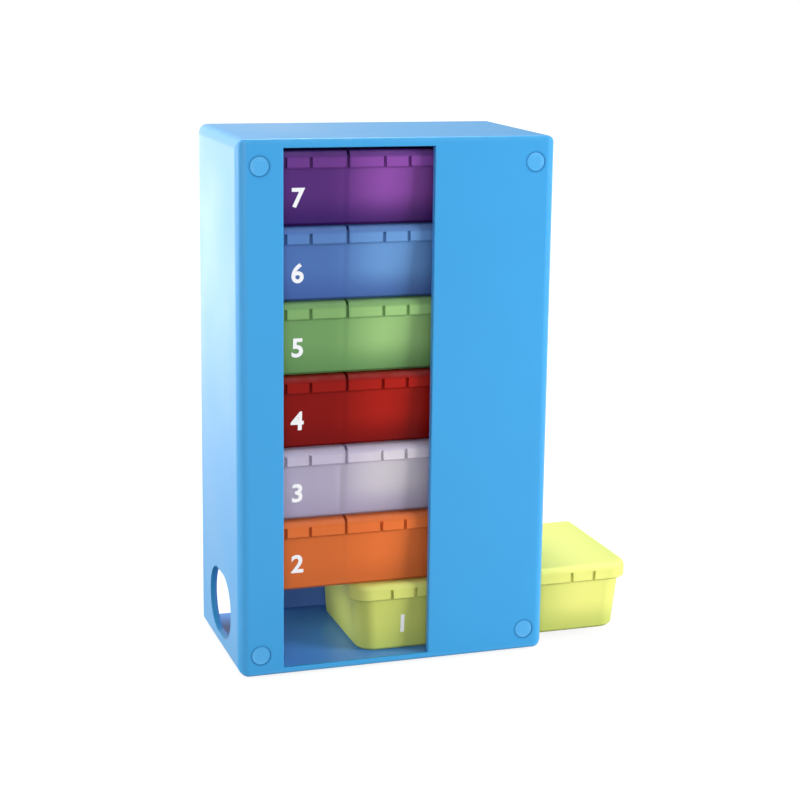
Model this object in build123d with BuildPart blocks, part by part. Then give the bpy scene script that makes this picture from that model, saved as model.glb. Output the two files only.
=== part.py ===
from build123d import *
import os

# Weekly pill organizer: a tower case that holds seven day boxes in a stack, with the lowest box
# drawn part way out through the side. Each box is a tray of three compartments with three lids.
# X runs along the boxes, Y from front to back and Z up, from the centre of the resting base.

# Day boxes
box_count = 7
box_length = 97.8
box_depth = 51.0
box_height = 23.25
stack_gap = 0.15  # running gap under each box
end_gap = 0.5  # between a box and each side wall
front_gap = 1.2
rear_gap = 1.0
head_room = 2.0  # above the top box

# Trays
tray_wall = 1.2
tray_floor = 1.3
divider = 1.0
slope = 4.5  # degrees that the front and the ends lean inward to the foot
steep_slope = 1.0  # degrees at the rear wall and the dividers
tray_corner_r = 6.0
tray_foot_bevel = 0.8
pocket_corner_r = 3.0

# Lids
lid_overreach = 1.5  # how much longer an end lid is than the spacing of the lids
lid_slit = 0.9
lid_plate = 1.4
lid_height = 5.5
lid_seat_gap = 0.05
lid_corner_r = 7.0
lid_rear_corner_r = 3.0
lid_edge_r = 2.0
lip_bevel = 0.5
front_lip = 1.0
end_lip = 1.4
front_lip_gap = 0.2
end_lip_gap = 0.25
tab_width = 7.0
tab_notch = 1.0

# Lid hinges: a knuckle of the tray in a slot of each lid, with the lid's pin through its eye
axis_drop = 1.3  # hinge axis below the top of the lid
axis_inset = 1.0  # hinge axis in front of the rear edge of the lid
knuckle_width = 6.0
knuckle_r = 1.0
knuckle_bevel = 0.5
knuckle_reach = 3.6  # how far a knuckle runs down the rear wall
pin_r = 0.55
pin_gap = 0.06
slot_gap = 0.25  # between a knuckle and the lid's slot
rib_margin = 5.0  # from the edge of a lid's share of the box to its hinge rib
rib_front = 0.8  # from the hinge axis forward
rib_drop = 0.75  # from the hinge axis down
rib_bevel = 0.35
rib_gap = 0.35  # between a closed rib and the rear wall of the tray

# Case
wall = 2.1
cover_thickness = 2.1
corner_r = 3.3
edge_r = 1.0
seat_width = 1.1  # ledge that the rear cover sits on
seat_depth = 1.0
cover_gap = 0.1
window_offset = 14.4
window_width = 48.3
window_top_lip = 0.8
window_edge_r = 0.4
exit_head_gap = 0.6
exit_post = 0.8  # left beside the front wall and the rear cover
exit_corner_r = 0.5
finger_hole_length = 30.0
finger_hole_height = 21.7
finger_hole_setback = 12.4
finger_hole_sill = 3.35
thumb_notch_width = 21.9
thumb_notch_r = 8.0
plug_r = 3.1
plug_depth = 1.4
plug_gap = 0.02
plug_bevel = 0.2
plug_side_inset = 6.95
plug_low_inset = 6.9
plug_high_inset = 8.25
foot_r = 1.95
foot_height = 1.15
foot_side_inset = 8.4
foot_end_inset = 5.3
foot_bevel = 0.4

# The lowest box is drawn out until its last lid clears the side wall.
lid_wall_gap = 0.2

# Sizes that follow
box_pitch = box_height + stack_gap
inner_length = box_length + 2 * end_gap
inner_depth = front_gap + box_depth + rear_gap
inner_height = box_count * box_pitch + head_room
case_width = inner_length + 2 * wall
case_depth = wall + inner_depth + cover_thickness
case_height = inner_height + 2 * wall
lid_pitch = (box_length - 2 * lid_overreach) / 3
rib_length = lid_pitch - 2 * rib_margin
last_lid_start = (box_length + lid_pitch + lid_slit) / 2
drawn_out = case_width + lid_wall_gap - wall - end_gap - last_lid_start
overall_length = wall + end_gap + drawn_out + box_length

# Faces of the case, from the centre of the resting base
left = -overall_length / 2
front = -case_depth / 2
base = foot_height
middle_x = left + case_width / 2
rear = front + case_depth
right = left + case_width
inner_front = front + wall
cover_face = rear - cover_thickness
floor_top = base + wall
exit_top = floor_top + box_pitch + exit_head_gap

# Places within a box, from its lower left front corner
rim_z = box_height - lid_plate - lid_seat_gap
axis_y = box_depth - axis_inset
axis_z = box_height - axis_drop
rim_end = end_lip + end_lip_gap
rim_front = front_lip + front_lip_gap
rim_rear = axis_y - rib_front - rib_gap
knuckle_root = rim_rear - tray_wall / 2
knuckle_front = axis_y - knuckle_r
knuckle_rear = axis_y + knuckle_r
knuckle_top = axis_z + knuckle_r
middle = box_length / 2
lid_centres = [middle - lid_pitch, middle, middle + lid_pitch]
slits = [middle - lid_pitch / 2, middle + lid_pitch / 2]
lid_spans = [
    (0, slits[0] - lid_slit / 2),
    (slits[0] + lid_slit / 2, slits[1] - lid_slit / 2),
    (slits[1] + lid_slit / 2, box_length),
]
pocket_spans = [
    (rim_end + tray_wall, slits[0] - divider / 2),
    (slits[0] + divider / 2, slits[1] - divider / 2),
    (slits[1] + divider / 2, box_length - rim_end - tray_wall),
]


def block_between(low, high, mode):
    """A plain block from one corner to the opposite one."""
    size = [b - a for a, b in zip(low, high)]
    with Locations(low):
        Box(*size, align=(Align.MIN, Align.MIN, Align.MIN), mode=mode)


def square_outline(low, high):
    """A plain rectangle between two corners of the current sketch."""
    with Locations(low):
        Rectangle(high[0] - low[0], high[1] - low[1], align=(Align.MIN, Align.MIN))


def upright(x, z):
    """A sketch plane on the front of the case, with its origin at a point of the front face."""
    return Plane(origin=(x, front, z), x_dir=(1, 0, 0), z_dir=(0, -1, 0))


# Case shell: front, sides, top and floor in one moulding, open at the back
cavity_low = (left + wall, inner_front, floor_top)
cavity_high = (right - wall, rear, floor_top + inner_height)
window_top = floor_top + inner_height - window_top_lip
plug_places = [
    (left + plug_side_inset, base + plug_low_inset),
    (right - plug_side_inset, base + plug_low_inset),
    (left + plug_side_inset, base + case_height - plug_high_inset),
    (right - plug_side_inset, base + case_height - plug_high_inset),
]

with BuildPart() as case_shell:
    block_between((left, front, base), (right, rear, base + case_height), Mode.ADD)
    fillet(case_shell.edges().filter_by(Axis.Y) + case_shell.edges().filter_by(Axis.Z), corner_r)
    fillet(case_shell.edges().filter_by(Axis.X), edge_r)
    block_between(cavity_low, cavity_high, Mode.SUBTRACT)
    # Ledge round the open back for the rear cover
    seat_low = (left + wall - seat_width, rear - seat_depth, floor_top - seat_width)
    seat_high = (right - wall + seat_width, rear, floor_top + inner_height + seat_width)
    block_between(seat_low, seat_high, Mode.SUBTRACT)
    # Window that shows the days, from the floor almost to the ceiling
    window_low = (left + window_offset, front, floor_top)
    window_high = (left + window_offset + window_width, inner_front, window_top)
    block_between(window_low, window_high, Mode.SUBTRACT)
    front_face = case_shell.faces().sort_by(Axis.Y)[0]
    fillet(front_face.inner_wires().edges(), window_edge_r)
    # Exit for the lowest box in the right side
    with BuildSketch(Plane.YZ.offset(right - wall)) as side_exit:
        square_outline((inner_front + exit_post, floor_top), (cover_face - exit_post, exit_top))
        fillet(side_exit.vertices().group_by(Axis.Y)[-1], exit_corner_r)
    extrude(amount=wall, mode=Mode.SUBTRACT)
    # Hole for the finger that pushes the lowest box
    with BuildSketch(Plane.YZ.offset(left)):
        hole_y = front + finger_hole_setback + finger_hole_length / 2
        hole_z = floor_top + finger_hole_sill + finger_hole_height / 2
        with Locations((hole_y, hole_z)):
            SlotOverall(finger_hole_length, finger_hole_height)
    extrude(amount=wall, mode=Mode.SUBTRACT)
    # Blind seats for the corner plugs
    for x, z in plug_places:
        with BuildSketch(upright(x, z)):
            Circle(plug_r + plug_gap)
        extrude(amount=-plug_depth, mode=Mode.SUBTRACT)

# Rear cover: a plate whose stepped edge sits in the ledge, with a thumb notch low on the left
with BuildPart() as rear_cover:
    inner_low = (cavity_low[0] + cover_gap, cover_face, cavity_low[2] + cover_gap)
    inner_high = (cavity_high[0] - cover_gap, rear - seat_depth, cavity_high[2] - cover_gap)
    block_between(inner_low, inner_high, Mode.ADD)
    outer_low = (seat_low[0] + cover_gap, rear - seat_depth, seat_low[2] + cover_gap)
    outer_high = (seat_high[0] - cover_gap, rear, seat_high[2] - cover_gap)
    block_between(outer_low, outer_high, Mode.ADD)
    with BuildSketch(Plane.XZ.offset(-rear)) as thumb_notch:
        square_outline((left, base), (left + wall + thumb_notch_width, exit_top))
        fillet(thumb_notch.vertices().group_by(Axis.X)[-1].sort_by(Axis.Y)[-1], thumb_notch_r)
    extrude(amount=cover_thickness, mode=Mode.SUBTRACT)

# Corner plugs: bevelled discs pressed into the front at its four corners
with BuildPart() as corner_plugs:
    for x, z in plug_places:
        with BuildSketch(upright(x, z)):
            Circle(plug_r)
        extrude(amount=-plug_depth)
    chamfer(corner_plugs.faces().sort_by(Axis.Y)[: len(plug_places)].edges(), plug_bevel)

# Feet: four low pads under the corners
with BuildPart() as feet:
    foot_spread = case_width - 2 * foot_side_inset
    foot_reach = case_depth - 2 * foot_end_inset
    with BuildSketch():
        with Locations((middle_x, 0)):
            with GridLocations(foot_spread, foot_reach, 2, 2):
                Circle(foot_r)
    extrude(amount=foot_height)
    chamfer(feet.faces().group_by(Axis.Z)[0].edges(), foot_bevel)

# Tray: a tapered tub with three compartments and three hinge knuckles on its rear wall
def tub(start, end, inset, floor_z, corner_r):
    """A tapered body under the rim of the tray, set in from its front and its rear."""
    with BuildPart() as body:
        block_between((start, rim_front + inset, floor_z), (end, rim_rear - inset, rim_z), Mode.ADD)
        rim = Plane.XY.offset(rim_z)
        ends = body.faces().filter_by(Axis.X)
        outer_ends = ends.filter_by(lambda face: abs(face.center().X - middle) > lid_pitch)
        draft(body.faces().sort_by(Axis.Y)[:1] + outer_ends, rim, -slope)
        upright_faces = body.faces().filter_by(Axis.X) + body.faces().filter_by(Axis.Y)
        draft(upright_faces, rim, -steep_slope)
        corners = body.edges().filter_by(lambda edge: abs(edge.tangent_at(0.5).Z) > 0.5)
        fillet(corners, corner_r)
    return body.part


pockets = [tub(start, end, tray_wall, tray_floor, pocket_corner_r) for start, end in pocket_spans]

with BuildPart() as tray:
    add(tub(rim_end, box_length - rim_end, 0, 0, tray_corner_r))
    chamfer(tray.faces().sort_by(Axis.Z)[0].edges(), tray_foot_bevel)
    for x in lid_centres:
        with BuildSketch(Plane.YZ.offset(x - knuckle_width / 2)):
            with BuildLine():
                Polyline(
                    (knuckle_root, rim_z),
                    (knuckle_front, rim_z),
                    (knuckle_front, knuckle_top - knuckle_bevel),
                    (knuckle_front + knuckle_bevel, knuckle_top),
                    (knuckle_rear - knuckle_bevel, knuckle_top),
                    (knuckle_rear, knuckle_top - knuckle_bevel),
                    (knuckle_rear, rim_z - knuckle_r),
                    (knuckle_root, rim_z - knuckle_reach),
                    close=True,
                )
            make_face()
            with Locations((axis_y, axis_z)):
                Circle(pin_r + pin_gap, mode=Mode.SUBTRACT)
        extrude(amount=knuckle_width)
    for space in pockets:
        add(space, mode=Mode.SUBTRACT)

# Cap: the outline that the three lids share, a rounded plate with a lip round its front and ends
with BuildPart() as cap:
    with BuildSketch(Plane.XY.offset(box_height - lid_height)) as outline:
        square_outline((0, 0), (box_length, box_depth))
        fillet(outline.vertices().group_by(Axis.Y)[0], lid_corner_r)
    extrude(amount=lid_height)
    # The straight rear edges stay square for the hinge
    fillet(cap.faces().sort_by(Axis.Z)[-1].edges().sort_by(Axis.Y)[:-1], lid_edge_r)
    chamfer(cap.faces().sort_by(Axis.Z)[0].edges().sort_by(Axis.Y)[:-1], lip_bevel)
    with BuildSketch(Plane.XY.offset(box_height - lid_height)) as rear_outline:
        square_outline((0, 0), (box_length, box_depth))
        fillet(rear_outline.vertices().group_by(Axis.Y)[-1], lid_rear_corner_r)
    extrude(amount=lid_height, mode=Mode.INTERSECT)
    with BuildSketch(Plane.XY.offset(box_height - lid_height)) as hollow:
        square_outline((end_lip, front_lip), (box_length - end_lip, box_depth))
        fillet(hollow.vertices().group_by(Axis.Y)[0], lid_corner_r - front_lip)
        square_outline((0, box_depth - lid_corner_r), (box_length, box_depth))
    extrude(amount=lid_height - lid_plate, mode=Mode.SUBTRACT)


def lid_between(start, end, centre):
    """One lid of the three, with its front tab, and a slot, a rib and a pin for its hinge."""
    lid_foot = box_height - lid_height
    slot_half = knuckle_width / 2 + slot_gap
    slot_front = knuckle_front - slot_gap
    notch_top = box_height - lid_edge_r
    hinge = Plane(origin=(centre, axis_y, axis_z), x_dir=(0, 1, 0), z_dir=(1, 0, 0))
    with BuildPart() as lid:
        add(cap.part)
        block_between((start, 0, lid_foot), (end, box_depth, box_height), Mode.INTERSECT)
        for side in (-1, 1):
            # Notch beside the tab
            x = centre + side * (tab_width + tab_notch) / 2
            notch_low = (x - tab_notch / 2, 0, lid_foot)
            block_between(notch_low, (x + tab_notch / 2, front_lip, notch_top), Mode.SUBTRACT)
        with BuildSketch(hinge) as rib:
            square_outline((-rib_front, -rib_drop), (axis_inset, 0))
            chamfer(rib.vertices().group_by(Axis.Y)[0], rib_bevel)
        extrude(amount=rib_length / 2, both=True)
        slot_low = (centre - slot_half, slot_front, lid_foot)
        block_between(slot_low, (centre + slot_half, box_depth, box_height), Mode.SUBTRACT)
        with BuildSketch(hinge):
            Circle(pin_r)
        extrude(amount=slot_half + pin_r, both=True)
    return lid.part


lid_names = ["left", "middle", "right"]
lids = [lid_between(*span, centre) for span, centre in zip(lid_spans, lid_centres)]

# Each piece goes to its place and is written out
os.makedirs("parts", exist_ok=True)
for name, piece in {
    "case_shell": case_shell.part,
    "rear_cover": rear_cover.part,
    "corner_plugs": corner_plugs.part,
    "feet": feet.part,
}.items():
    piece.label = name
    export_step(piece, f"parts/{name}.step")

for day in range(1, box_count + 1):
    start = left + wall + end_gap + (drawn_out if day == 1 else 0)
    level = floor_top + stack_gap + (day - 1) * box_pitch
    place = Location((start, inner_front + front_gap, level))
    day_tray = tray.part.moved(place)
    day_tray.label = f"day_{day}_tray"
    export_step(day_tray, f"parts/{day_tray.label}.step")
    for name, lid in zip(lid_names, lids):
        day_lid = lid.moved(place)
        day_lid.label = f"day_{day}_lid_{name}"
        export_step(day_lid, f"parts/{day_lid.label}.step")
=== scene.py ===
import math

import bpy
from mathutils import Matrix, Vector


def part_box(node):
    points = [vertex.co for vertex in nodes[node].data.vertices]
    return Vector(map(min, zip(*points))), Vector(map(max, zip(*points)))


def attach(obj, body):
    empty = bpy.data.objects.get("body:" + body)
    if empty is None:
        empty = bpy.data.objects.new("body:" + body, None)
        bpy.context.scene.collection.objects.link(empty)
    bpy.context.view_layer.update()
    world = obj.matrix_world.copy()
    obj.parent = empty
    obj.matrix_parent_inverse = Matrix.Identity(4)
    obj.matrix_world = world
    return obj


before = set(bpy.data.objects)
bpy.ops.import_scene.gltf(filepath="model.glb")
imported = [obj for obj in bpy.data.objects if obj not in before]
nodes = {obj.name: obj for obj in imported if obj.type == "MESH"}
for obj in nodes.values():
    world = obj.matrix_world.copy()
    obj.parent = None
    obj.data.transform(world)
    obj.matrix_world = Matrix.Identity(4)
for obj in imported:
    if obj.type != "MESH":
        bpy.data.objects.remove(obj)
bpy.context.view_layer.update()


# Case shell: one injection moulding in light blue plastic with a very fine grain; the window, the
# finger hole and the exit come from the mould. Handling has rubbed its outer edges. Its inside faces
# carry painted light: a more violet blue that stands in for the light coming in through the coloured
# boxes. Painted shade with dust darkens the round seams of the corner plugs.
def new_group(name, inputs, outputs):
    """A shader node group with named sockets, and its input and output nodes."""
    group = bpy.data.node_groups.new(name, "ShaderNodeTree")
    for label, kind, value in inputs:
        socket = group.interface.new_socket(label, in_out="INPUT", socket_type=kind)
        socket.default_value = value
    for label, kind in outputs:
        group.interface.new_socket(label, in_out="OUTPUT", socket_type=kind)
    return group, group.nodes.new("NodeGroupInput"), group.nodes.new("NodeGroupOutput")


def calc(tree, operation, first, second=0.0):
    """A math node of a shader tree, fed by sockets or plain numbers."""
    node = tree.nodes.new("ShaderNodeMath")
    node.operation = operation
    for socket, source in zip(node.inputs, (first, second)):
        if isinstance(source, float):
            socket.default_value = source
        else:
            tree.links.new(source, socket)
    return node.outputs["Value"]


def fade(tree, source, span, values, course="SMOOTHSTEP"):
    """A value that goes from the first to the second of two values over a span of the source."""
    node = tree.nodes.new("ShaderNodeMapRange")
    node.interpolation_type = course
    node.inputs["From Min"].default_value, node.inputs["From Max"].default_value = span
    node.inputs["To Min"].default_value, node.inputs["To Max"].default_value = values
    tree.links.new(source, node.inputs["Value"])
    return node.outputs["Result"]


def blend(tree, factor, under, over):
    """A colour mix; the colours are sockets or plain red, green and blue values."""
    node = tree.nodes.new("ShaderNodeMix")
    node.data_type = "RGBA"
    tree.links.new(factor, node.inputs["Factor"])
    for label, source in (("A", under), ("B", over)):
        if isinstance(source, tuple):
            node.inputs[label].default_value = (*source, 1)
        else:
            tree.links.new(source, node.inputs[label])
    return node.outputs["Result"]


def gap_to_box(tree, place, given):
    """The gap on each axis from a point to the nearer side of the box between two corners."""
    gaps = []
    for first, second in ((place, given.outputs["Low Corner"]), (given.outputs["High Corner"], place)):
        gap = tree.nodes.new("ShaderNodeVectorMath")
        gap.operation = "SUBTRACT"
        tree.links.new(first, gap.inputs[0])
        tree.links.new(second, gap.inputs[1])
        gaps.append(gap)
    nearest = tree.nodes.new("ShaderNodeVectorMath")
    nearest.operation = "MINIMUM"
    for gap, socket in zip(gaps, nearest.inputs):
        tree.links.new(gap.outputs["Vector"], socket)
    axes = tree.nodes.new("ShaderNodeSeparateXYZ")
    tree.links.new(nearest.outputs["Vector"], axes.inputs["Vector"])
    return axes.outputs


box_corners = [
    ("Low Corner", "NodeSocketVector", (0, 0, 0)),
    ("High Corner", "NodeSocketVector", (0, 0, 0)),
]
grain_size = 2500.0
grain_bump = 0.00004
flow_size = 22.0
flow_span = (0.2, 0.8)
flow_tone = (0.98, 1.02)
flow_dullness = (-0.05, 0.05)
rub_patch_size = 260.0
rub_reach = 0.0022  # from an edge


def noise(tree, place, size, detail):
    """Noise over a piece; its size is a socket or a plain number."""
    node = tree.nodes.new("ShaderNodeTexNoise")
    node.inputs["Detail"].default_value = detail
    tree.links.new(place, node.inputs["Vector"])
    if isinstance(size, float):
        node.inputs["Scale"].default_value = size
    else:
        tree.links.new(size, node.inputs["Scale"])
    return node.outputs["Fac"]


def moulded_skin():
    """Fine tool grain, soft flow marks and rubbed edges for a moulded plastic surface."""
    group, given, result = new_group(
        "moulded_skin",
        [("Colour", "NodeSocketColor", (0.5, 0.5, 0.5, 1)),
         ("Rubbed Colour", "NodeSocketColor", (0.7, 0.7, 0.7, 1)),
         ("Grain Size", "NodeSocketFloat", grain_size), ("Grain Depth", "NodeSocketFloat", 0.05),
         ("Roughness", "NodeSocketFloat", 0.35), ("Rub", "NodeSocketFloat", 0.5), *box_corners],
        [("Colour", "NodeSocketColor"), ("Roughness", "NodeSocketFloat"), ("Normal", "NodeSocketVector")])
    link = group.links.new
    place = group.nodes.new("ShaderNodeTexCoord").outputs["Object"]

    bump = group.nodes.new("ShaderNodeBump")
    bump.inputs["Distance"].default_value = grain_bump
    link(noise(group, place, given.outputs["Grain Size"], detail=3), bump.inputs["Height"])
    link(given.outputs["Grain Depth"], bump.inputs["Strength"])

    flow = noise(group, place, flow_size, detail=2)
    toned = group.nodes.new("ShaderNodeVectorMath")
    toned.operation = "SCALE"
    link(given.outputs["Colour"], toned.inputs[0])
    link(fade(group, flow, flow_span, flow_tone), toned.inputs["Scale"])
    dull = calc(group, "ADD", given.outputs["Roughness"], fade(group, flow, flow_span, flow_dullness))

    # The middle one of the three gaps is small only along the edges of the box.
    gaps = gap_to_box(group, place, given)
    small = calc(group, "MINIMUM", gaps["X"], gaps["Y"])
    large = calc(group, "MAXIMUM", gaps["X"], gaps["Y"])
    middle = calc(group, "MAXIMUM", small, calc(group, "MINIMUM", large, gaps["Z"]))
    edge = fade(group, middle, (0.0, rub_reach), (1.0, 0.0))
    patch = noise(group, place, rub_patch_size, detail=4)
    amount = calc(group, "MULTIPLY", calc(group, "MULTIPLY", edge, patch), given.outputs["Rub"])
    colour = blend(group, amount, toned.outputs["Vector"], given.outputs["Rubbed Colour"])

    link(colour, result.inputs["Colour"])
    link(dull, result.inputs["Roughness"])
    link(bump.outputs["Normal"], result.inputs["Normal"])
    return group


skin = moulded_skin()


def plastic(name, piece_box, colour, rubbed, roughness, rub=0.5, grain=0.05):
    """A moulded plastic with the common skin, rubbed along the edges of the piece's box."""
    material = bpy.data.materials.new(name)
    material.use_nodes = True
    tree = material.node_tree
    shader = tree.nodes["Principled BSDF"]
    surface = tree.nodes.new("ShaderNodeGroup")
    surface.node_tree = skin
    surface.inputs["Colour"].default_value = (*colour, 1)
    surface.inputs["Rubbed Colour"].default_value = (*rubbed, 1)
    surface.inputs["Roughness"].default_value = roughness
    surface.inputs["Rub"].default_value = rub
    surface.inputs["Grain Depth"].default_value = grain
    surface.inputs["Low Corner"].default_value, surface.inputs["High Corner"].default_value = piece_box
    tree.links.new(surface.outputs["Colour"], shader.inputs["Base Color"])
    tree.links.new(surface.outputs["Roughness"], shader.inputs["Roughness"])
    tree.links.new(surface.outputs["Normal"], shader.inputs["Normal"])
    return material


def finish_in(node, material):
    """Gives a node of the frame its material."""
    mesh = nodes[node].data
    mesh.materials.clear()
    mesh.materials.append(material)


wall = 0.0021
inner_span = (0.4, 0.9)  # shares of a wall


def inner_side():
    """A mask for the faces that lie deeper than a wall inside a box."""
    group, given, result = new_group(
        "inner_side", [*box_corners, ("Wall", "NodeSocketFloat", wall)], [("Mask", "NodeSocketFloat")])
    place = group.nodes.new("ShaderNodeTexCoord").outputs["Object"]
    gaps = gap_to_box(group, place, given)
    nearest = calc(group, "MINIMUM", calc(group, "MINIMUM", gaps["X"], gaps["Y"]), gaps["Z"])
    share = calc(group, "DIVIDE", nearest, given.outputs["Wall"])
    group.links.new(fade(group, share, inner_span, (0.0, 1.0)), result.inputs["Mask"])
    return group


plug_radius = 0.0031
seam_inside = 0.0005
seam_outside = 0.0008


def seam_shade():
    """A mask for the painted shade and dust in and around the round seams of the corner plugs."""
    group, given, result = new_group(
        "seam_shade",
        [*box_corners, ("Radius", "NodeSocketFloat", plug_radius),
         ("Inside", "NodeSocketFloat", seam_inside), ("Outside", "NodeSocketFloat", seam_outside)],
        [("Mask", "NodeSocketFloat")])
    place = group.nodes.new("ShaderNodeTexCoord").outputs["Object"]
    gaps = gap_to_box(group, place, given)
    squares = []
    for axis in "XZ":
        offset = calc(group, "SUBTRACT", gaps[axis], given.outputs["Radius"])
        squares.append(calc(group, "MULTIPLY", offset, offset))
    distance = calc(group, "SQRT", calc(group, "ADD", *squares))
    past_rim = calc(group, "SUBTRACT", distance, given.outputs["Radius"])
    within = calc(group, "ABSOLUTE", calc(group, "MINIMUM", past_rim, 0.0))
    beyond = calc(group, "MAXIMUM", past_rim, 0.0)
    inner = calc(group, "SUBTRACT", 1.0, calc(group, "DIVIDE", within, given.outputs["Inside"]))
    outer = calc(group, "SUBTRACT", 1.0, calc(group, "DIVIDE", beyond, given.outputs["Outside"]))
    mask = fade(group, calc(group, "MINIMUM", inner, outer), (0.0, 1.0), (0.0, 1.0))
    group.links.new(mask, result.inputs["Mask"])
    return group


def masked(material, mask_group, piece, colour, amount):
    """Blends a colour over a material where a mask group, laid on a piece's box, is bright."""
    tree = material.node_tree
    mask = tree.nodes.new("ShaderNodeGroup")
    mask.node_tree = mask_group
    mask.inputs["Low Corner"].default_value, mask.inputs["High Corner"].default_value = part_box(piece)
    factor = calc(tree, "MULTIPLY", mask.outputs["Mask"], amount)
    base = tree.nodes["Principled BSDF"].inputs["Base Color"]
    tree.links.new(blend(tree, factor, base.links[0].from_socket, colour), base)


inside = inner_side()
seams = seam_shade()
case_blue = plastic(
    "case_blue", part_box("case_shell"), colour=(0.040, 0.325, 0.68), rubbed=(0.14, 0.47, 0.80), roughness=0.33)
case_blue.node_tree.nodes["Principled BSDF"].inputs["IOR"].default_value = 1.5
# Painted light: faces inside the case get a more violet blue, for light coming in through the boxes.
masked(case_blue, inside, "case_shell", (0.085, 0.31, 0.82), 1.0)
# Painted shade with dust: a dark soft ring on the case round each corner plug.
masked(case_blue, seams, "corner_plugs", (0.012, 0.16, 0.42), 0.55)
finish_in("case_shell", case_blue)

# Rear cover: a plain moulded plate in the same blue, a little duller since it lies against the
# table or the wall; its colour holds a little painted shade, darker and more violet than the case's.
# Its stepped edge drops into the ledge round the open back of the case.
cover_blue = plastic(
    "cover_blue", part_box("rear_cover"), colour=(0.055, 0.285, 0.64), rubbed=(0.12, 0.43, 0.77), roughness=0.4)
# Painted light: the cover's inner face, seen through the window, is tinted violet like the case inside.
masked(cover_blue, inside, "case_shell", (0.12, 0.27, 0.74), 1.0)
finish_in("rear_cover", cover_blue)

# Corner plugs: four small moulded discs of the same plastic, pressed into blind seats. They come
# from another mould with a smoother face, so they look a shade lighter than the case.
plug_blue = plastic(
    "plug_blue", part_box("corner_plugs"), colour=(0.07, 0.375, 0.74), rubbed=(0.16, 0.5, 0.84),
    roughness=0.26, rub=0.8)
# Painted shade with dust: a dark soft ring along the rim of each plug.
masked(plug_blue, seams, "corner_plugs", (0.015, 0.20, 0.50), 0.6)
finish_in("corner_plugs", plug_blue)

# Feet: four low round pads of the same plastic, flat against the floor of the case near its
# corners. The table has scuffed them, so they are dull and pale along their edges.
foot_blue = plastic(
    "foot_blue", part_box("feet"), colour=(0.03, 0.28, 0.62), rubbed=(0.2, 0.45, 0.72),
    roughness=0.5, rub=1.0, grain=0.2)
finish_in("feet", foot_blue)

# Day boxes: thin polypropylene mouldings, a tray of three compartments and three hinged lids,
# tinted in the day's colour and frosted, so light from behind glows through them softly. Painted
# shade darkens their colour toward the foot, the ends and the dividers, and on the lids' rolled
# top edge under the box above.
end_span = (0.002, 0.022)  # from the least shaded place along the wall
end_shade = 0.75
divider_place = 0.0158  # from the middle of the box
divider_span = (0.0004, 0.0014)
divider_shade = 0.3
foot_span = (0.0005, 0.011)  # up from the foot
foot_shade = 0.85
lip_span = (0.0174, 0.0180)  # the lower edge of the lids, up from the foot
lip_share = 0.7
roll_span = (0.0206, 0.0218)  # the rolled top edge of the lids, up from the foot


def depth_tint():
    """Painted shade on a thin box's colour: darker near its foot, its ends, at the dividers and on the lids'
    rolled top edge.
    """
    group, given, result = new_group(
        "depth_tint",
        [("Colour", "NodeSocketColor", (0.5, 0.5, 0.5, 1)),
         ("Shade Colour", "NodeSocketColor", (0.3, 0.3, 0.3, 1)),
         ("Middle", "NodeSocketFloat", 0.0), ("Least Shaded", "NodeSocketFloat", 0.0),
         ("Foot", "NodeSocketFloat", 0.0), ("Roll", "NodeSocketFloat", 0.5)],
        [("Colour", "NodeSocketColor")])
    axes = group.nodes.new("ShaderNodeSeparateXYZ")
    place = group.nodes.new("ShaderNodeTexCoord").outputs["Object"]
    group.links.new(place, axes.inputs["Vector"])
    along = axes.outputs["X"]
    from_least_shaded = calc(group, "ABSOLUTE", calc(group, "SUBTRACT", along, given.outputs["Least Shaded"]))
    from_middle = calc(group, "ABSOLUTE", calc(group, "SUBTRACT", along, given.outputs["Middle"]))
    from_divider = calc(group, "ABSOLUTE", calc(group, "SUBTRACT", from_middle, divider_place))
    over_foot = calc(group, "SUBTRACT", axes.outputs["Z"], given.outputs["Foot"])
    ends = fade(group, from_least_shaded, end_span, (0.0, end_shade))
    below_lids = fade(group, over_foot, lip_span, (1.0, lip_share))
    roll = fade(group, over_foot, roll_span, (0.0, 1.0))
    clear = 1.0
    # Painted shade: toward the wall's ends (less on the lids' lip), at each divider, toward the foot, and on
    # the rolled top edge.
    for mask in (calc(group, "MULTIPLY", ends, below_lids),
                 fade(group, from_divider, divider_span, (divider_shade, 0.0)),
                 fade(group, over_foot, foot_span, (foot_shade, 0.0)),
                 calc(group, "MULTIPLY", roll, given.outputs["Roll"])):
        clear = calc(group, "MULTIPLY", clear, calc(group, "SUBTRACT", 1.0, mask))
    painted_shade = calc(group, "SUBTRACT", 1.0, clear)
    group.links.new(
        blend(group, painted_shade, given.outputs["Colour"], given.outputs["Shade Colour"]), result.inputs["Colour"])
    return group


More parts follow.
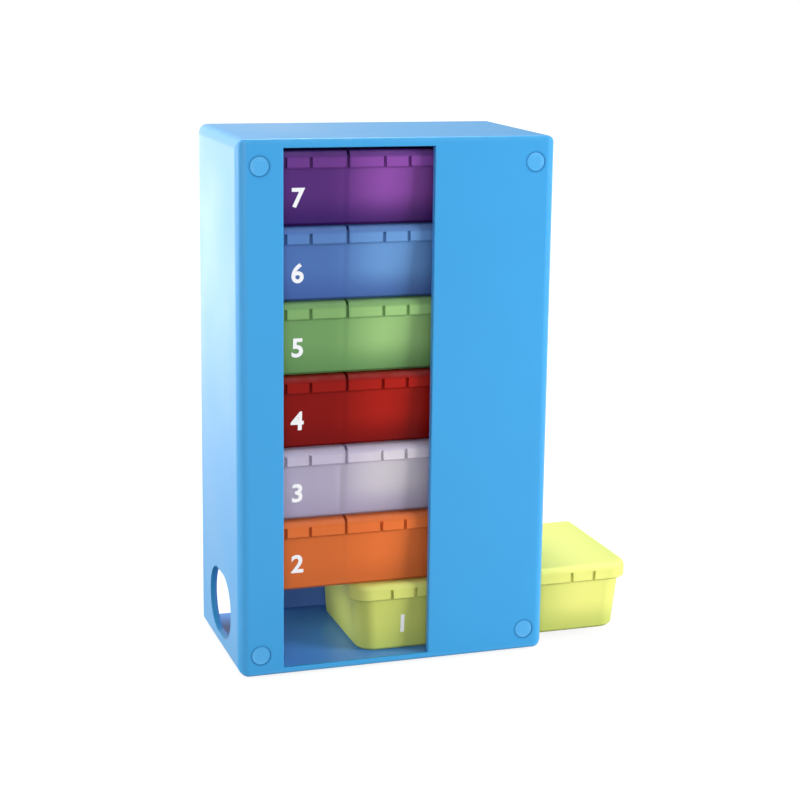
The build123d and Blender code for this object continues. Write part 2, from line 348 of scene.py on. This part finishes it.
tint = depth_tint()
day_finishes = {  # colour, colour in full painted shade and how much light goes through
    1: ((0.88, 0.89, 0.25), (0.53, 0.61, 0.14), 0.15),
    2: ((0.88, 0.20, 0.045), (0.66, 0.15, 0.035), 0.2),
    3: ((0.96, 0.91, 0.98), (0.59, 0.53, 0.74), 0.55),
    4: ((0.42, 0.012, 0.006), (0.168, 0.001, 0.001), 0.15),
    5: ((0.36, 0.62, 0.23), (0.12, 0.28, 0.095), 0.2),
    6: ((0.16, 0.36, 0.72), (0.055, 0.12, 0.38), 0.2),
    7: ((0.29, 0.08, 0.42), (0.035, 0.008, 0.12), 0.2),
}
rubbed_white = 0.2
drawn_out_least_shaded = 0.015  # from the right end of the lowest box
roll_shade = 0.55
for day, (colour, shade_colour, see_through) in day_finishes.items():
    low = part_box(f"day_{day}_lid_left")[0]
    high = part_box(f"day_{day}_lid_right")[1]
    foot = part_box(f"day_{day}_tray")[0].z
    middle = (low.x + high.x) / 2
    day_box = ((low.x, low.y, foot), (high.x, high.y, high.z))
    pale = tuple((1 - rubbed_white) * value + rubbed_white for value in colour)
    tinted = plastic(f"day_{day}_tint", day_box, colour, pale, roughness=0.42, rub=0.35, grain=0.08)
    tree = tinted.node_tree
    shader = tree.nodes["Principled BSDF"]
    shader.inputs["Transmission Weight"].default_value = see_through
    shader.inputs["IOR"].default_value = 1.49
    shader.inputs["Specular IOR Level"].default_value = 0.1
    painted_shade = tree.nodes.new("ShaderNodeGroup")
    painted_shade.node_tree = tint
    painted_shade.inputs["Colour"].default_value = (*colour, 1)
    painted_shade.inputs["Shade Colour"].default_value = (*shade_colour, 1)
    painted_shade.inputs["Middle"].default_value = middle
    # Painted shade spares the middle of each box in the case; on the drawn-out box it spares the part near its
    # right end, outside the case, and leaves its rolled top edge unshaded.
    painted_shade.inputs["Least Shaded"].default_value = middle if day > 1 else high.x - drawn_out_least_shaded
    painted_shade.inputs["Foot"].default_value = foot
    painted_shade.inputs["Roll"].default_value = roll_shade if day > 1 else 0.0
    surface = shader.inputs["Base Color"].links[0].from_node
    tree.links.new(painted_shade.outputs["Colour"], surface.inputs["Colour"])
    for part in ("tray", "lid_left", "lid_middle", "lid_right"):
        finish_in(f"day_{day}_{part}", tinted)

# Numerals: one white number on the front of each box, screen-printed in thin opaque ink low on
# the wall, where the day is read through the window.
ink = bpy.data.materials.new("white_ink")
ink.use_nodes = True
tree = ink.node_tree
ink_shader = tree.nodes["Principled BSDF"]
ink_shader.inputs["Roughness"].default_value = 0.55
speckle = tree.nodes.new("ShaderNodeTexNoise")
speckle.inputs["Scale"].default_value = 900
ink_tone = tree.nodes.new("ShaderNodeValToRGB")
thin, full = ink_tone.color_ramp.elements
thin.position, thin.color = 0.3, (0.74, 0.74, 0.76, 1)
full.position, full.color = 0.5, (0.88, 0.88, 0.88, 1)
tree.links.new(speckle.outputs["Fac"], ink_tone.inputs["Fac"])
tree.links.new(ink_tone.outputs["Color"], ink_shader.inputs["Base Color"])

wall_slope = math.radians(4.5)
numeral_height = 0.0058
height_share = 0.7  # of a numeral in its font's size
numeral_start = 0.0155  # from the left end of the lids
numeral_drop = 0.0148  # from the top of the lids
rim_drop = 0.00145  # from the top of the lids to the rim of the tray
ink_lift = 0.00005
ink_thickness = 0.00002
stroke_gain = 0.00022
for day in day_finishes:
    low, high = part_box(f"day_{day}_lid_left")
    text = bpy.data.curves.new(f"numeral_{day}", "FONT")
    text.body = str(day)
    text.size = numeral_height / height_share
    text.align_x = "LEFT"
    text.align_y = "CENTER"
    text.extrude = ink_thickness
    text.offset = stroke_gain
    text.materials.append(ink)
    numeral = bpy.data.objects.new(f"numeral_{day}", text)
    bpy.context.scene.collection.objects.link(numeral)
    rim_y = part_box(f"day_{day}_tray")[0].y
    wall_y = rim_y + math.tan(wall_slope) * (numeral_drop - rim_drop)
    place = (low.x + numeral_start, wall_y - ink_lift, high.z - numeral_drop)
    lean = Matrix.Rotation(math.radians(90) + wall_slope, 4, "X")
    numeral.matrix_world = Matrix.Translation(place) @ lean
    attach(numeral, "day_1_box" if day == 1 else "case")

# Table: a white studio sweep of matt paper. The camera sees it as white as the background, and
# for reflections it has a painted glow that grows toward the studio's brightest wall, behind the organizer to
# the left.
sweep_reach = 4.0
paper_tone = 0.25
glow_direction = (-0.35, 0.94, 0)
glow_span = (0.0, 0.9)  # from the organizer toward the wall
painted_glow = (0.5, 2.6)
camera_span = (0.5, 2.5)  # from the organizer
camera_glow = (0.86, 1.0)
sweep = bpy.data.meshes.new("studio_floor")
corners = [(x * sweep_reach, y * sweep_reach, 0) for x, y in ((-1, -1), (1, -1), (1, 1), (-1, 1))]
sweep.from_pydata(corners, [], [(0, 1, 2, 3)])
floor = bpy.data.objects.new("studio_floor", sweep)
bpy.context.scene.collection.objects.link(floor)


def measure(tree, operation, source, direction=(0, 0, 0)):
    """The length of a vector, or its reach in a direction."""
    node = tree.nodes.new("ShaderNodeVectorMath")
    node.operation = operation
    node.inputs[1].default_value = direction
    tree.links.new(source, node.inputs[0])
    return node.outputs["Value"]


white = bpy.data.materials.new("studio_white")
white.use_nodes = True
tree = white.node_tree
tree.nodes.clear()
rays = tree.nodes.new("ShaderNodeLightPath").outputs
place = tree.nodes.new("ShaderNodeTexCoord").outputs["Object"]
mirrored = calc(tree, "MAXIMUM", rays["Is Glossy Ray"], rays["Is Transmission Ray"])
toward_glow = measure(tree, "DOT_PRODUCT", place, glow_direction)
# Painted glow: the floor gives off light for mirror and glass rays, more toward the left rear.
for_mirrors = calc(tree, "MULTIPLY", mirrored, fade(tree, toward_glow, glow_span, painted_glow))
distance = measure(tree, "LENGTH", place)
for_camera = calc(tree, "MULTIPLY", rays["Is Camera Ray"],
                  fade(tree, distance, camera_span, camera_glow, course="LINEAR"))
paper = tree.nodes.new("ShaderNodeBsdfDiffuse")
paper.inputs["Color"].default_value = (paper_tone, paper_tone, paper_tone, 1)
lift = tree.nodes.new("ShaderNodeEmission")
tree.links.new(calc(tree, "MAXIMUM", for_mirrors, for_camera), lift.inputs["Strength"])
both = tree.nodes.new("ShaderNodeAddShader")
tree.links.new(paper.outputs["BSDF"], both.inputs[0])
tree.links.new(lift.outputs["Emission"], both.inputs[1])
out = tree.nodes.new("ShaderNodeOutputMaterial")
tree.links.new(both.outputs["Shader"], out.inputs["Surface"])
sweep.materials.append(white)

# Studio: pale walls all round, the brightest one behind the organizer to the left, and four
# square softboxes. The one on the right stands close, so it is kept out of the reflections.
bright_direction = (-0.60, 0.75, -0.28)
bright_span = (0.3, 0.92)
wall_light = (0.32, 2.0)
world = bpy.data.worlds.new("studio")
bpy.context.scene.world = world
world.use_nodes = True
tree = world.node_tree
air = tree.nodes["Background"]
air.inputs["Color"].default_value = (1, 1, 1, 1)
rays = tree.nodes.new("ShaderNodeLightPath").outputs
around = tree.nodes.new("ShaderNodeTexCoord").outputs["Generated"]
seen = calc(tree, "MAXIMUM", rays["Is Camera Ray"], rays["Is Transmission Ray"])
toward_bright = measure(tree, "DOT_PRODUCT", around, bright_direction)
level = calc(tree, "MAXIMUM", seen, fade(tree, toward_bright, bright_span, wall_light))
tree.links.new(level, air.inputs["Strength"])


def softbox(name, place, target, size, power, mirrored=True):
    """A square studio lamp that faces a point, and may be kept out of the reflections."""
    lamp = bpy.data.lights.new(name, "AREA")
    lamp.shape = "SQUARE"
    lamp.size = size
    lamp.energy = power
    holder = bpy.data.objects.new(name, lamp)
    bpy.context.scene.collection.objects.link(holder)
    holder.location = place
    holder.rotation_euler = (Vector(target) - Vector(place)).to_track_quat("-Z", "Y").to_euler()
    holder.visible_glossy = mirrored


softbox("left_box", (-1.3, 0.15, 0.14), (-0.07, 0, 0.05), size=0.7, power=13)
softbox("top_box", (0.1, 0.55, 1.6), (0, 0, 0.1), size=0.8, power=21)
softbox("front_box", (-0.6, -1.35, 0.42), (0, 0, 0.08), size=0.8, power=7.5)
softbox("right_box", (0.62, -0.42, 0.2), (0.03, 0, 0.07), size=0.35, power=6.2, mirrored=False)

# Camera: at the photograph's place and viewing angle, fitted to the corners of the case. Its
# optical axis isn't in the middle of the picture.
picture_size = 800
focal_pixels = 1893
axis_column, axis_row = 453, 374
camera = bpy.data.cameras.new("camera")
camera.sensor_width = 36
camera.lens = camera.sensor_width * focal_pixels / picture_size
camera.shift_x = (picture_size / 2 - axis_column) / picture_size
camera.shift_y = (axis_row - picture_size / 2) / picture_size
camera.clip_start = 0.01
camera_place = (-0.194875, -0.58308, 0.22162)
viewer = bpy.data.objects.new("camera", camera)
bpy.context.scene.collection.objects.link(viewer)
ahead = Vector((0.327, 0.922, -0.209)).normalized()
across = Vector((0.943, -0.331, 0.018))  # the picture's rows, at a slight roll
across = (across - ahead * across.dot(ahead)).normalized()
upward = across.cross(ahead)
turn = Matrix((across, upward, -ahead)).transposed().to_4x4()
viewer.matrix_world = Matrix.Translation(camera_place) @ turn
bpy.context.scene.camera = viewer

bpy.context.scene.view_settings.view_transform = "Standard"
